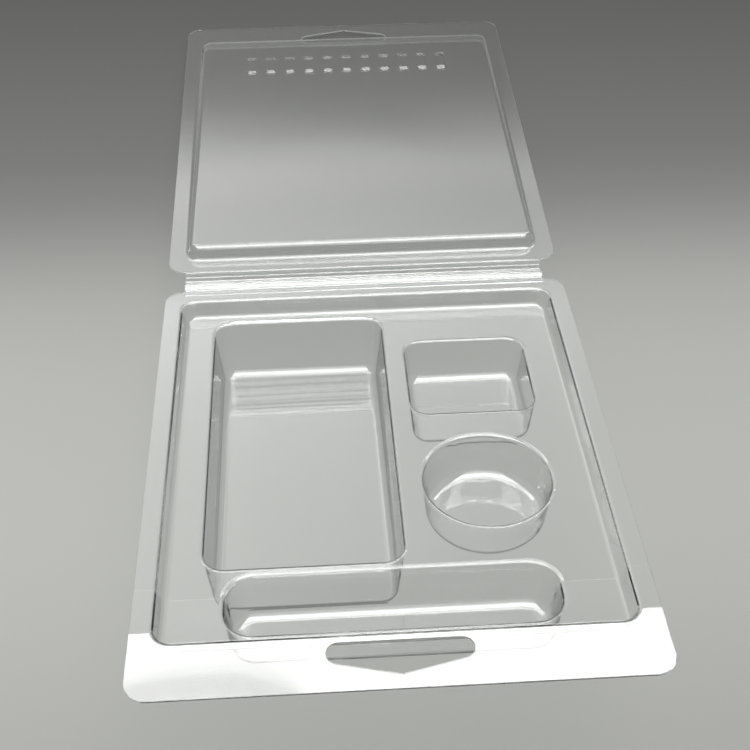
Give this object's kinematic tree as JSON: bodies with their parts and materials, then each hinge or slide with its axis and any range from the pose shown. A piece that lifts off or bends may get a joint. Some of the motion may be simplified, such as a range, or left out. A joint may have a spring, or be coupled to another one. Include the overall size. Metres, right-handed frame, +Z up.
{
  "type": "clamshell pack",
  "caption": "Clear thermoformed clamshell pack lying open: a base tray with rounded pockets, a raised-panel lid that nests in it and a folding hinge between.",
  "frame": {"origin": "on the surface it rests on, under the middle of the open pack's outline", "axes": "+X along the hinge, +Y from the base tray towards the lid, +Z up"},
  "size_m": [0.117, 0.2954, 0.0501],
  "materials": {
    "clear_sheet": "clear, glossy thermoformed sheet"
  },
  "bodies": {
    "base": {"base_tray": "clear_sheet"},
    "spine": {"hinge_spine": "clear_sheet"},
    "lid": {"lid": "clear_sheet"}
  },
  "joints": [
    {"name": "base_fold", "type": "hinge", "parent": "base", "child": "spine", "pos_m": [0, -0.00347, 0.01734], "axis": [1, 0, 0], "range_deg": [-2.5, 87.5]},
    {"name": "lid_fold", "type": "hinge", "parent": "spine", "child": "lid", "pos_m": [0, 0.00077, 0.01663], "axis": [1, 0, 0], "range_deg": [-2.5, 87.5]}
  ],
  "couplings": [
    {"joint": "lid_fold", "follows": "base_fold", "ratio": 1}
  ]
}
